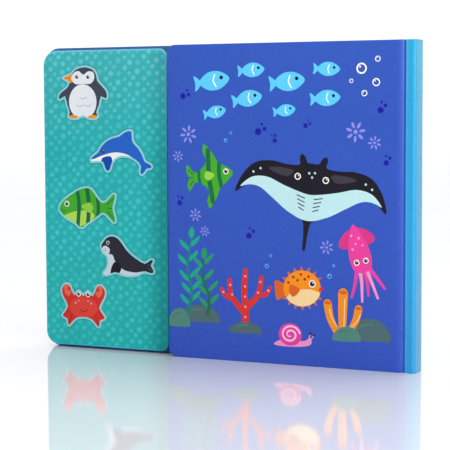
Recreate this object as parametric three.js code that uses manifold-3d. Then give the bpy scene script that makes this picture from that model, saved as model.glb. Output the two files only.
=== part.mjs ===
// Hardback sound book standing upright: case cover with flat spine, a short
// front cover, a bound block of leaves, and a raised sound panel with five
// shaped push buttons on the wide back cover. Millimetres, +Z up, the spine
// at +X, the front facing -Y, origin under the middle of the book.
import * as THREE from 'three';
import { mergeVertices } from 'three/addons/utils/BufferGeometryUtils.js';
import Module from 'manifold-3d';

const wasm = await Module();
wasm.setup();

// ---- driving dimensions -------------------------------------------------
const H = 215;                 // height of the case
const W = 282;                 // width, spine to the back cover's fore-edge
const T = 14.5;                // thickness over both boards
const BOARD = 2.0;             // cover and spine board
const XL = -W / 2, XR = W / 2; // back cover fore-edge, outside of the spine
const YF = -T / 2, YB = T / 2; // front face, rear face
const JOINT = 8;               // width of the groove beside the spine
const XJ = XR - BOARD - JOINT; // where the cover boards end at the groove
const FRONT_X0 = -36.8;        // fore-edge of the short front cover
const R_FRONT = 5.5;           // corner radius, front cover
const R_BACK = 8;              // corner radius, back cover
const GROOVE = 0.95;           // depth of the groove below the boards
const STRIP = 0.4;             // thickness of the cover paper in the groove

const PAGE_X0 = -33.5, PAGE_X1 = 137.2, PAGE_INSET = 2.6;
const PAGE_Y0 = -4.7, PAGE_Y1 = 4.95;

const PANEL = { x0: -139, x1: -41.5, z0: 2, z1: 213, rl: 9, rr: 6 };
const Y_PANEL = -0.75;         // front face of the sound panel
const T_PANEL = 1.5;
const WALL = 1.2;              // housing wall
const Y_TRAY0 = 0.95, Y_TRAY1 = 5.1, T_FLOOR = 0.8;

const CAP_PROUD = 0.6;         // how far a button stands above the panel
const CAP_Y1 = 0.75;
const CLEAR = 0.65;            // gap between a button and its opening
const TRAVEL = 0.8;            // button stroke

const BOARD_Y0 = 3.3, BOARD_Y1 = 4.1;      // circuit board
const DOME_Y0 = 2.85, DOME_Y1 = 3.2;

const SPK = { x: -63, z: 183, r: 14.8 };
const CELL_R = 5.8, CELL_T = 3.1, CELL_Z = 25, CELL_X = [-80.6, -68.9, -57.2];
const DOOR = { x0: -90, x1: -44.5, z0: 15, z1: 35 };
const SCREW_X = -47.2;
const SWITCH = { x: -58, z: 104 };

// ---- helpers ------------------------------------------------------------
const group = new THREE.Group();

function mat(color, roughness, metalness = 0) {
  return new THREE.MeshStandardMaterial({ color, roughness, metalness });
}
function add(name, geometry, material) {
  const mesh = new THREE.Mesh(geometry, material);
  mesh.name = name;
  group.add(mesh);
  return mesh;
}
// extrude an outline drawn in X and Z from y0 to y1
function slab(shape, y0, y1, curveSegments = 8) {
  const g = new THREE.ExtrudeGeometry(shape, { depth: y1 - y0, bevelEnabled: false, curveSegments });
  g.rotateX(Math.PI / 2);
  g.translate(0, y1, 0);
  return g;
}
function polygon(points) {
  return new THREE.Shape(points.map(([x, z]) => new THREE.Vector2(x, z)));
}
// rectangle with its own radius at each corner: left bottom, right bottom, right top, left top
function roundRect(x0, z0, x1, z1, [a, b, c, d], n = 6) {
  const p = [];
  const corner = (cx, cz, r, start) => {
    if (r <= 0) { p.push([cx, cz]); return; }
    for (let i = 0; i <= n; i++) {
      const t = start + (Math.PI / 2) * (i / n);
      p.push([cx + r * Math.cos(t), cz + r * Math.sin(t)]);
    }
  };
  corner(x0 + a, z0 + a, a, Math.PI);
  corner(x1 - b, z0 + b, b, 1.5 * Math.PI);
  corner(x1 - c, z1 - c, c, 0);
  corner(x0 + d, z1 - d, d, 0.5 * Math.PI);
  return p;
}
function circle(cx, cz, r, n = 16) {
  const p = [];
  for (let i = 0; i < n; i++) {
    const t = (2 * Math.PI * i) / n;
    p.push([cx + r * Math.cos(t), cz + r * Math.sin(t)]);
  }
  return p;
}
function box(x0, x1, y0, y1, z0, z1) {
  const g = new THREE.BoxGeometry(x1 - x0, y1 - y0, z1 - z0);
  g.translate((x0 + x1) / 2, (y0 + y1) / 2, (z0 + z1) / 2);
  return g;
}
// body of revolution about an axis along Y: profile of [radius, y]
function turned(profile, cx, cz, n = 24) {
  const g = new THREE.LatheGeometry(profile.map(([r, y]) => new THREE.Vector2(r, y)), n);
  g.translate(cx, 0, cz);
  return g;
}
function solid(geometry) {
  let g = geometry.clone();
  g.deleteAttribute('normal');
  g.deleteAttribute('uv');
  g = mergeVertices(g, 1e-4);
  return new wasm.Manifold(new wasm.Mesh({
    numProp: 3,
    vertProperties: new Float32Array(g.attributes.position.array),
    triVerts: new Uint32Array(g.index.array),
  }));
}
function fromSolid(m) {
  const mesh = m.getMesh();
  const g = new THREE.BufferGeometry();
  g.setAttribute('position', new THREE.BufferAttribute(new Float32Array(mesh.vertProperties), 3));
  g.setIndex(new THREE.BufferAttribute(new Uint32Array(mesh.triVerts), 1));
  g.computeVertexNormals();
  return g;
}
// smooth closed outline through a few points
function smooth(points, per = 3) {
  const c = new THREE.CatmullRomCurve3(points.map(([x, z]) => new THREE.Vector3(x, z, 0)), true, 'centripetal');
  return c.getPoints(points.length * per).slice(0, -1).map((p) => [p.x, p.y]);
}
// the same outline moved outwards by d (counterclockwise input)
function grow(points, d) {
  const n = points.length;
  return points.map((p, i) => {
    const a = points[(i + n - 1) % n], b = points[(i + 1) % n];
    const tx = b[0] - a[0], tz = b[1] - a[1], l = Math.hypot(tx, tz);
    return [p[0] + (d * tz) / l, p[1] - (d * tx) / l];
  });
}
const at = (points, cx, cz) => points.map(([x, z]) => [x + cx, z + cz]);

// ---- the five button outlines, each about its own centre ------------------
const penguin = [
  [0, -17.4], [4.5, -19.2], [10, -19.3], [13.4, -17.0], [12.4, -13.6], [14.4, -9], [15.6, -4.4],
  [18.6, -5.6], [21, -3.4], [20.2, 1.6], [16.6, 5.8], [13.2, 9.2], [12.4, 13.2], [9.2, 17.4],
  [4.2, 19.4], [-1.2, 19.5], [-6.6, 17.8], [-10.2, 14.6], [-14.5, 13.2], [-18.2, 11.0], [-15.4, 8.6],
  [-12.6, 7.2], [-14.4, 4.6], [-18.0, 2.2], [-21, -1], [-21.2, -4.8], [-18.4, -5.8], [-15.6, -4.2],
  [-14.4, -9], [-12.6, -13.6], [-13.6, -17.0], [-10.2, -19.3], [-4.5, -19.2]];
const dolphin = [
  [-24.8, -7.8], [-20, -7.6], [-15.8, -8.0], [-14.4, -11.6], [-12.2, -14.4], [-8.6, -13.8],
  [-7.0, -9.6], [-4.8, -5.8], [0, -3.8], [6, -4.2], [11.2, -6.6], [14.0, -9.8], [13.4, -13.4],
  [15.0, -16.4], [18.4, -15.6], [20.8, -12.6], [24.4, -11.8], [25.4, -8.8], [22.6, -6.4],
  [19.8, -5.2], [17.8, -0.8], [14.4, 4.2], [10.6, 8.0], [10.0, 12.0], [9.4, 16.0], [5.6, 16.6],
  [1.2, 15.0], [-2.4, 12.6], [-7.4, 11.4], [-13, 8.8], [-17.4, 4.6], [-20.0, 0.8], [-23.6, -1.6],
  [-26.0, -4.8]];
const fish = [
  [-24.6, -1.6], [-21.6, -6.2], [-15.8, -10.2], [-10.4, -12.6], [-7.6, -15.2], [-3.0, -15.4],
  [0.0, -12.8], [4.8, -10.2], [9.2, -7.0], [13.0, -5.0], [17.0, -8.0], [21.0, -11.4], [24.0, -10.0],
  [23.4, -5.2], [22.0, 0], [23.4, 5.2], [24.0, 10.0], [21.0, 11.4], [17.0, 8.0], [13.0, 5.2],
  [9.4, 7.8], [6.6, 11.6], [3.2, 14.8], [-2.2, 15.4], [-8.0, 13.6], [-13.0, 10.8], [-18.2, 7.6],
  [-22.6, 3.4]];
const seal = [
  [-22.0, 4.6], [-20.6, 1.4], [-17.4, -1.2], [-16.8, -5.0], [-18.4, -9.2], [-21.0, -12.4],
  [-19.4, -15.2], [-14.6, -14.8], [-10.0, -13.2], [-4.6, -14.4], [2, -15.2], [9, -14.0],
  [14.2, -11.6], [18.4, -12.8], [22.2, -11.4], [22.0, -8.2], [20.4, -5.8], [21.8, -3.2],
  [20.8, -0.4], [17.4, -0.8], [14.0, -3.0], [9.4, -1.0], [4.2, 2.2], [0.0, 6.0], [-3.4, 10.4],
  [-7.2, 14.0], [-12.2, 15.4], [-17.2, 14.0], [-20.4, 10.6], [-22.4, 7.6]];
const crab = [
  [0, -9.8], [5.0, -10.4], [8.4, -13.2], [11.6, -16.2], [14.4, -14.8], [14.8, -11.2], [17.6, -10.2],
  [19.0, -7.4], [16.6, -4.2], [14.6, -0.8], [16.6, 3.0], [19.0, 7.6], [18.9, 12.6], [15.2, 16.4],
  [10.6, 15.8], [8.8, 12.2], [7.2, 9.4], [5.2, 11.4], [2.6, 11.6], [0, 9.0],
  [-2.6, 11.6], [-5.2, 11.4], [-7.2, 9.4], [-8.8, 12.2], [-10.6, 15.8], [-15.2, 16.4],
  [-18.9, 12.6], [-19.0, 7.6], [-16.6, 3.0], [-14.6, -0.8], [-16.6, -4.2], [-19.0, -7.4],
  [-17.6, -10.2], [-14.8, -11.2], [-14.4, -14.8], [-11.6, -16.2], [-8.4, -13.2], [-5.0, -10.4]];

const BUTTONS = [
  { name: 'button_penguin', n: 1, x: -106.9, z: 182.8, w: 22.4, d: 20.6, outline: smooth(penguin, 2), color: 0xc9ced6 },
  { name: 'button_dolphin', n: 2, x: -76.4, z: 140.9, w: 26.4, d: 17.6, outline: smooth(dolphin, 2), color: 0x3f78b8 },
  { name: 'button_fish', n: 3, x: -104.3, z: 101.5, w: 25.4, d: 16.3, outline: smooth(fish, 3), color: 0x6fae3f },
  { name: 'button_seal', n: 4, x: -72.3, z: 67.8, w: 23.2, d: 16.3, outline: smooth(seal, 2), color: 0x45434d },
  { name: 'button_crab', n: 5, x: -108.4, z: 31.0, w: 20.0, d: 17.2, outline: smooth(crab, 2), color: 0xd8402f },
];

// ---- materials ------------------------------------------------------------
const boardBlue = mat(0x3d5fc0, 0.35);
const boardNavy = mat(0x1c3a6a, 0.45);
const spineBlue = mat(0x4db4f0, 0.35);
const paper = mat(0xf1eee4, 0.8);
const teal = mat(0x2fa8a8, 0.4);
const plastic = mat(0xe9e9ea, 0.5);
const darkPlastic = mat(0x2a2b2e, 0.55);
const steel = mat(0xc6c8cc, 0.3, 1);
const brassy = mat(0xc9a95a, 0.35, 1);
const green = mat(0x2f7d4a, 0.5);
const rubber = mat(0x9a9c9f, 0.85);

// ---- the case ---------------------------------------------------------------
add('front_cover', slab(polygon(roundRect(FRONT_X0, 0, XJ, H, [R_FRONT, 0, 0, R_FRONT])), YF, YF + BOARD), boardBlue);
add('front_endpaper', slab(polygon(roundRect(FRONT_X0 + 2.5, 2.5, XJ - 1, H - 2.5, [4, 0, 0, 4])), YF + BOARD + 0.1, YF + BOARD + 0.35), paper);

const backShape = polygon(roundRect(XL, 0, XJ, H, [R_BACK, 0, 0, R_BACK], 8));
// window for the battery door
backShape.holes.push(polygon(roundRect(DOOR.x0 - 0.3, DOOR.z0 - 0.3, DOOR.x1 + 0.3, DOOR.z1 + 0.3, [1.5, 1.5, 1.5, 1.5], 3)));
// window for the slide switch
backShape.holes.push(polygon(roundRect(SWITCH.x - 5, SWITCH.z - 2.8, SWITCH.x + 4.2, SWITCH.z + 2.8, [1, 1, 1, 1], 3)));
// sound holes, one in the middle and two rings around it
const soundHoles = [[SPK.x, SPK.z]];
for (let i = 0; i < 6; i++) soundHoles.push([SPK.x + 4.6 * Math.cos((i * Math.PI) / 3), SPK.z + 4.6 * Math.sin((i * Math.PI) / 3)]);
for (let i = 0; i < 12; i++) soundHoles.push([SPK.x + 9.2 * Math.cos(((i + 0.5) * Math.PI) / 6), SPK.z + 9.2 * Math.sin(((i + 0.5) * Math.PI) / 6)]);
for (const [x, z] of soundHoles) backShape.holes.push(polygon(circle(x, z, 1.2, 10)));
add('back_cover', slab(backShape, YB - BOARD, YB), boardNavy);

// spine board with softened outer edges, drawn in plan and raised to full height
{
  const r = 0.8, p = [];
  const arc = (cx, cy, s) => { for (let i = 0; i <= 4; i++) { const t = s + (Math.PI / 2) * (i / 4); p.push(new THREE.Vector2(cx + r * Math.cos(t), cy + r * Math.sin(t))); } };
  p.push(new THREE.Vector2(XR - BOARD, YF));
  arc(XR - r, YF + r, 1.5 * Math.PI);
  arc(XR - r, YB - r, 0);
  p.push(new THREE.Vector2(XR - BOARD, YB));
  add('spine', new THREE.ExtrudeGeometry(new THREE.Shape(p), { depth: H, bevelEnabled: false }), spineBlue);
}
add('front_hinge_paper', box(XJ + 0.3, XR - BOARD - 0.3, YF + GROOVE, YF + GROOVE + STRIP, 0.3, H - 0.3), spineBlue);
add('back_hinge_paper', box(XJ + 0.3, XR - BOARD - 0.3, YB - GROOVE - STRIP, YB - GROOVE, 0.3, H - 0.3), spineBlue);

add('page_block', slab(polygon(roundRect(PAGE_X0, PAGE_INSET, PAGE_X1, H - PAGE_INSET, [5, 0, 0, 5])), PAGE_Y0, PAGE_Y1), paper);

// ---- sound panel and its housing --------------------------------------------
const panelShape = polygon(roundRect(PANEL.x0, PANEL.z0, PANEL.x1, PANEL.z1, [PANEL.rl, PANEL.rr, PANEL.rr, PANEL.rl], 8));
for (const b of BUTTONS) panelShape.holes.push(polygon(at(grow(b.outline, CLEAR), b.x, b.z)));
add('sound_panel', slab(panelShape, Y_PANEL, Y_PANEL + T_PANEL), teal);

{
  const o = (d) => roundRect(PANEL.x0 + d, PANEL.z0 + d, PANEL.x1 - d, PANEL.z1 - d, [PANEL.rl - d, PANEL.rr - d, PANEL.rr - d, PANEL.rl - d], 5);
  let tray = solid(slab(polygon(o(1)), Y_TRAY0, Y_TRAY1));
  tray = tray.subtract(solid(slab(polygon(o(1 + WALL)), Y_TRAY0 - 1, Y_TRAY1 - T_FLOOR)));
  // battery box standing on the floor of the tray
  tray = tray.add(solid(box(-88, -43.1, 1.6, 4.6, 17, 33)));
  tray = tray.subtract(solid(slab(polygon(roundRect(-86.9, 18.4, -50.8, 31.6, [5, 5, 5, 5], 5)), 2.2, 6)));
  // pilot hole for the door screw, mouth of the loudspeaker, slot for the switch
  tray = tray.subtract(solid(slab(polygon(circle(SCREW_X, CELL_Z, 1.15, 12)), 2.4, 6)));
  tray = tray.subtract(solid(slab(polygon(circle(SPK.x, SPK.z, 12.6, 28)), 4, 6)));
  tray = tray.subtract(solid(box(SWITCH.x - 4, SWITCH.x + 3.2, 4, 6, SWITCH.z - 1.9, SWITCH.z + 1.9)));
  add('module_housing', fromSolid(tray), plastic);
}

// ---- buttons ------------------------------------------------------------------
for (const b of BUTTONS) {
  add(b.name, slab(polygon(at(b.outline, b.x, b.z)), Y_PANEL - CAP_PROUD, CAP_Y1), mat(b.color, 0.4));
  add(`button_backing_${b.n}`, slab(polygon(roundRect(b.x - b.w, b.z - b.d, b.x + b.w, b.z + b.d, [6, 6, 6, 6], 5)), 0.95, 1.35), plastic);
  add(`button_plunger_${b.n}`, slab(polygon(circle(b.x, b.z, 5, 16)), 1.45, 1.95), rubber);
  add(`contact_dome_${b.n}`, turned([[0, DOME_Y0], [2.2, DOME_Y0 + 0.06], [4.0, DOME_Y0 + 0.2], [5.0, DOME_Y1], [0, DOME_Y1]], b.x, b.z, 18), steel);
}

// ---- electronics ----------------------------------------------------------------
add('circuit_board', slab(polygon([[-114, 20], [-98, 20], [-98, 54], [-66, 54], [-66, 152], [-98, 152], [-98, 192], [-114, 192]]), BOARD_Y0, BOARD_Y1), green);
add('sound_chip', turned([[0, 2.2], [2.2, 2.3], [3.6, 2.65], [4.4, 3.2], [0, 3.2]], -72, 112, 18), darkPlastic);

add('speaker_basket', turned([[3.4, 2.1], [7.5, 2.1], [12.6, 3.1], [SPK.r, 3.1], [SPK.r, 4.1], [12.2, 4.1], [12.2, 3.6], [7.2, 2.6], [3.4, 2.6], [3.4, 2.1]], SPK.x, SPK.z, 28), steel);
add('speaker_magnet', slab(polygon(circle(SPK.x, SPK.z, 6.2, 20)), 1.1, 1.95), darkPlastic);
add('speaker_cone', turned([[0, 3.0], [3.5, 3.0], [7.2, 3.2], [11.6, 3.85], [11.6, 4.05], [7.1, 3.4], [3.4, 3.3], [0, 3.3]], SPK.x, SPK.z, 28), paper);

CELL_X.forEach((x, i) => add(`button_cell_${i + 1}`, slab(polygon(circle(x, CELL_Z, CELL_R, 22)), 2.6, 2.6 + CELL_T), steel));
add('battery_contact_plus', box(-85, -77, 2.25, 2.5, 22, 28), brassy);
add('battery_contact_bridge', box(-73, -53, 2.25, 2.5, 22, 28), brassy);
add('door_contact', box(-85, -65, 5.76, 5.92, 22.5, 27.5), brassy);

// battery door: a plate with a rim, a recess over the cells and a stepped screw hole
{
  let door = solid(slab(polygon(roundRect(DOOR.x0, DOOR.z0, DOOR.x1, DOOR.z1, [1.3, 1.3, 1.3, 1.3], 3)), 5.2, 7.1));
  door = door.subtract(solid(slab(polygon(roundRect(-86.9, 18.4, -50.8, 31.6, [5, 5, 5, 5], 5)), 5, 6)));
  door = door.subtract(solid(slab(polygon(circle(SCREW_X, CELL_Z, 1.25, 14)), 5, 7.5)));
  door = door.subtract(solid(slab(polygon(circle(SCREW_X, CELL_Z, 2.3, 18)), 6.2, 7.5)));
  add('battery_door', fromSolid(door), darkPlastic);
}
// door screw: pan head with a cross recess on a plain shank
{
  let screw = solid(turned([[0, 2.8], [0.95, 3.1], [0.95, 6.3], [2.0, 6.3], [2.0, 6.75], [1.6, 6.95], [0, 6.95]], SCREW_X, CELL_Z, 18));
  screw = screw.subtract(solid(box(SCREW_X - 1.2, SCREW_X + 1.2, 6.55, 7.2, CELL_Z - 0.25, CELL_Z + 0.25)));
  screw = screw.subtract(solid(box(SCREW_X - 0.25, SCREW_X + 0.25, 6.55, 7.2, CELL_Z - 1.2, CELL_Z + 1.2)));
  add('door_screw', fromSolid(screw), steel);
}

add('switch_body', box(SWITCH.x - 5, SWITCH.x + 4, 1.2, 4.15, SWITCH.z - 2.4, SWITCH.z + 2.4), steel);
// slide knob with a ribbed thumb face, off at rest, on after 3 mm along +X
{
  let knob = solid(box(SWITCH.x - 3.6, SWITCH.x - 0.4, 4.3, 6.9, SWITCH.z - 1.5, SWITCH.z + 1.5));
  for (const dx of [-2.9, -2.0, -1.1]) {
    knob = knob.subtract(solid(box(SWITCH.x + dx - 0.2, SWITCH.x + dx + 0.2, 6.5, 7.2, SWITCH.z - 2, SWITCH.z + 2)));
  }
  add('switch_knob', fromSolid(knob), darkPlastic);
}

// insulated wires inside the housing, routed in front of the circuit board
function wire(name, points, color) {
  const path = new THREE.CatmullRomCurve3(points.map(([x, z]) => new THREE.Vector3(x, 2.85, z)));
  const section = polygon(circle(0, 0, 0.38, 8));
  add(name, new THREE.ExtrudeGeometry(section, { steps: 10, extrudePath: path, bevelEnabled: false }), mat(color, 0.6));
}
wire('wire_speaker_plus', [[-78.4, 187.6], [-85, 189.4], [-92, 188.6], [-99.2, 187.4]], 0xc03028);
wire('wire_speaker_minus', [[-78.4, 178.6], [-85, 176.8], [-92, 177.6], [-99.2, 178.8]], 0x202124);
wire('wire_battery_plus', [[-80, 33.6], [-81.6, 40], [-81.2, 48], [-80, 55.6]], 0xc03028);
wire('wire_battery_minus', [[-74, 33.6], [-75.2, 40], [-74.9, 48], [-74, 55.6]], 0x202124);
wire('wire_switch_1', [[-63.3, 105], [-65, 105.4], [-67.2, 105.2]], 0xc03028);
wire('wire_switch_2', [[-63.3, 103], [-65, 102.6], [-67.2, 102.8]], 0x202124);

export default group;
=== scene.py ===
import math

import bpy
import numpy as np
from mathutils import Matrix, Vector
from mathutils.geometry import delaunay_2d_cdt


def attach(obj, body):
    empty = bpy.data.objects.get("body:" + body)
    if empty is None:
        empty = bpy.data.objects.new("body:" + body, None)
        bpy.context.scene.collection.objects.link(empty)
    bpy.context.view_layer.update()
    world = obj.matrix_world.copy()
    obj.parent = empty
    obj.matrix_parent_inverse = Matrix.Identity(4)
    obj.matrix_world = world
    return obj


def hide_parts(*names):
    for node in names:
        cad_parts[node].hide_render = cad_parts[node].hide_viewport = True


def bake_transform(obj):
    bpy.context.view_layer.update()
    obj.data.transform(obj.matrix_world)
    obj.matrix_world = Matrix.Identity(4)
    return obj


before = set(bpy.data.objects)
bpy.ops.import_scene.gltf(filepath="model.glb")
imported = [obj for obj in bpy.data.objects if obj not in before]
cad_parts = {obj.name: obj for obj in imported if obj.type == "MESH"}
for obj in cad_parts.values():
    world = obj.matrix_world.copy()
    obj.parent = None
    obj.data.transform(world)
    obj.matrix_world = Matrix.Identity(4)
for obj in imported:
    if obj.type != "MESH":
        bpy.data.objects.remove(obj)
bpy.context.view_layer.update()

MM = 0.001

# ---- sizes shared with the construction, in millimetres ---------------------
H, XL, XR, YF, YB, BOARD = 215.0, -141.0, 141.0, -7.25, 7.25, 2.0
FRONT_X0, XJ = -36.8, 131.0
SPK = (-63.0, 183.0)
DOOR = (-90.0, -44.5, 15.0, 35.0)
SWITCH = (-58.0, 104.0)
BUTTON_AT = {"penguin": (-106.9, 182.8), "dolphin": (-76.4, 140.9), "fish": (-104.3, 101.5),
             "seal": (-72.3, 67.8), "crab": (-108.4, 31.0)}


# ---- colour ------------------------------------------------------------------
def lin(r, g, b):
    def f(c):
        c /= 255.0
        return c / 12.92 if c <= 0.04045 else ((c + 0.055) / 1.055) ** 2.4
    return (f(r), f(g), f(b))


def ink(r, g, b):
    """Pigment under laminate, whose sheen lightens it."""
    return tuple(max(0.003, c * 0.98 - SHEEN) for c in lin(r, g, b))


SHEEN = 0.016
BLUE = ink(58, 89, 190)
LIGHT = ink(92, 196, 250)
PALE = ink(190, 228, 246)
LILAC = ink(138, 142, 232)
NAVY = ink(40, 38, 165)
GREEN = ink(72, 168, 52)
DGREEN = ink(18, 112, 72)
LGREEN = ink(150, 205, 80)
TEAL = ink(14, 170, 138)
DTEAL = ink(10, 128, 128)
ORANGE = ink(246, 148, 28)
DORANGE = ink(222, 104, 22)
RED = ink(222, 56, 46)
DRED = ink(168, 34, 44)
PINK = ink(230, 70, 160)
LPINK = ink(244, 150, 200)
CHAR = ink(40, 38, 46)
CHAR2 = ink(66, 64, 76)
BELLY = ink(186, 228, 238)
WHITE = ink(244, 244, 242)
BLACK = ink(14, 14, 18)
STONE = ink(82, 110, 112)
STONE2 = ink(84, 138, 122)
CREAM = ink(250, 218, 160)
RIM = ink(140, 214, 220)
SPINE = ink(58, 168, 230)
# the spine blue is painted lighter towards the spine's corner as a painted highlight, and darker on the spine's side
# face as painted shade
SPINE_CORNER_HIGHLIGHT = ink(66, 180, 242)
SPINE_SIDE_SHADE = ink(34, 142, 190)
INNER = ink(68, 110, 150)
CHIP = lin(196, 188, 174)


# ---- outlines ----------------------------------------------------------------
def ell(cx, cz, rx, rz=None, rot=0.0, n=28):
    rz = rx if rz is None else rz
    c, s = math.cos(math.radians(rot)), math.sin(math.radians(rot))
    out = []
    for i in range(n):
        t = 2 * math.pi * i / n
        a, b = rx * math.cos(t), rz * math.sin(t)
        out.append((cx + a * c - b * s, cz + a * s + b * c))
    return out


def curve(points, per=6, closed=True):
    """Smooth line through points (centripetal)."""
    p = [np.array(q, float) for q in points]
    n = len(p)
    out = []
    last = n if closed else n - 1
    for i in range(last):
        if closed:
            a, b, c, d = p[i - 1], p[i], p[(i + 1) % n], p[(i + 2) % n]
        else:
            b, c = p[i], p[i + 1]
            a = p[i - 1] if i > 0 else 2 * b - c
            d = p[i + 2] if i + 2 < n else 2 * c - b
        t0 = 0.0
        t1 = t0 + max(np.linalg.norm(b - a), 1e-6) ** 0.5
        t2 = t1 + max(np.linalg.norm(c - b), 1e-6) ** 0.5
        t3 = t2 + max(np.linalg.norm(d - c), 1e-6) ** 0.5
        for k in range(per):
            t = t1 + (t2 - t1) * k / per
            A1 = (t1 - t) / (t1 - t0) * a + (t - t0) / (t1 - t0) * b
            A2 = (t2 - t) / (t2 - t1) * b + (t - t1) / (t2 - t1) * c
            A3 = (t3 - t) / (t3 - t2) * c + (t - t2) / (t3 - t2) * d
            B1 = (t2 - t) / (t2 - t0) * A1 + (t - t0) / (t2 - t0) * A2
            B2 = (t3 - t) / (t3 - t1) * A2 + (t - t1) / (t3 - t1) * A3
            C = (t2 - t) / (t2 - t1) * B1 + (t - t1) / (t2 - t1) * B2
            out.append((float(C[0]), float(C[1])))
    if not closed:
        out.append(tuple(float(v) for v in p[-1]))
    return out


def stroke(points, width, smooth=6, taper=None):
    """A band of the given width along a line, round at its ends. width is a number or a list, one for each point."""
    w = [width] * len(points) if not isinstance(width, (list, tuple)) else list(width)
    line = curve([(x, z) for x, z in points], smooth, closed=False) if smooth > 1 and len(points) > 2 else [tuple(map(float, q)) for q in points]
    n = len(line)
    ws = np.interp(np.linspace(0, len(w) - 1, n), range(len(w)), w)
    L, R = [], []
    for i in range(n):
        a = np.array(line[max(i - 1, 0)]); b = np.array(line[min(i + 1, n - 1)])
        t = (b - a) / max(np.linalg.norm(b - a), 1e-9)
        nrm = np.array([-t[1], t[0]])
        q = np.array(line[i])
        L.append(q + nrm * ws[i] / 2)
        R.append(q - nrm * ws[i] / 2)
    def cap(centre, start, w2, t):
        c = np.array(centre)
        base = math.atan2(*(start - c)[::-1])
        k = 5
        return [c + w2 * np.array([math.cos(base - math.pi * j / k), math.sin(base - math.pi * j / k)]) for j in range(1, k)]
    t_end = np.array(line[-1]) - np.array(line[-2])
    end = cap(line[-1], L[-1], ws[-1] / 2, t_end)
    start = cap(line[0], R[0], ws[0] / 2, -t_end)
    pts = L + end + R[::-1] + start
    pts = [(float(x), float(z)) for x, z in pts]
    return pts if area(pts) > 0 else pts[::-1]


def area(p):
    return 0.5 * sum(p[i - 1][0] * p[i][1] - p[i][0] * p[i - 1][1] for i in range(len(p)))


def ccw(p):
    return p if area(p) > 0 else p[::-1]


def move(p, dx, dz, s=1.0, rot=0.0, flip=False):
    c, k = math.cos(math.radians(rot)), math.sin(math.radians(rot))
    out = []
    for x, z in p:
        if flip:
            x = -x
        x, z = x * s, z * s
        out.append((dx + x * c - z * k, dz + x * k + z * c))
    return ccw(out)


def round_rect(x0, z0, x1, z1, radii, n=10):
    p = []
    for (cx, cz, r, s) in ((x0 + radii[0], z0 + radii[0], radii[0], math.pi),
                           (x1 - radii[1], z0 + radii[1], radii[1], 1.5 * math.pi),
                           (x1 - radii[2], z1 - radii[2], radii[2], 0.0),
                           (x0 + radii[3], z1 - radii[3], radii[3], 0.5 * math.pi)):
        if r < 0.7:
            t = s + math.pi / 4
            p.append((cx + r * math.sqrt(2) * math.cos(t), cz + r * math.sqrt(2) * math.sin(t)))
            continue
        for i in range(n + 1):
            t = s + math.pi / 2 * i / n
            p.append((cx + r * math.cos(t), cz + r * math.sin(t)))
    return p


def inset(loop, d):
    """A counterclockwise loop moved inwards by d (outwards where d is negative)."""
    n = len(loop)
    P = np.array(loop, float)
    out = []
    for i in range(n):
        a, p, b = P[i - 1], P[i], P[(i + 1) % n]
        e1, e2 = p - a, b - p
        e1 /= max(np.linalg.norm(e1), 1e-9)
        e2 /= max(np.linalg.norm(e2), 1e-9)
        n1, n2 = np.array([-e1[1], e1[0]]), np.array([-e2[1], e2[0]])
        m = n1 + n2
        m /= max(np.linalg.norm(m), 1e-9)
        k = 1.0 / max(0.6, float(m @ n1))
        out.append(tuple(p + m * d * k))
    return out


def loops_of(node):
    """Front outlines (facing -Y) of a CAD node, in millimetres: the outer one first, counterclockwise."""
    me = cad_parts[node].data
    co = np.array([v.co[:] for v in me.vertices]) * 1000.0
    y0 = co[:, 1].min()
    key, ids = {}, []
    for c in co:
        k = (round(c[0], 2), round(c[2], 2))
        ids.append(key.setdefault(k, len(key)) if abs(c[1] - y0) < 1e-3 else -1)
    pos = {v: k for k, v in key.items()}
    count = {}
    for f in me.polygons:
        v = [ids[i] for i in f.vertices]
        if min(v) < 0:
            continue
        for a, b in zip(v, v[1:] + v[:1]):
            if (b, a) in count:
                del count[(b, a)]
            else:
                count[(a, b)] = True
    nxt = {a: b for a, b in count}
    loops = []
    while nxt:
        a = next(iter(nxt))
        loop = []
        while a in nxt:
            loop.append(pos[a])
            a = nxt.pop(a)
        loops.append(ccw(loop))
    loops.sort(key=lambda q: -abs(area(q)))
    return loops


# ---- printed boards ------------------------------------------------------------
def front(a, b, d):
    return (a, d, b)


def rear(a, b, d):
    return (-a, d, b)


def upright(a, b, d):
    return (a, b, d)


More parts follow.
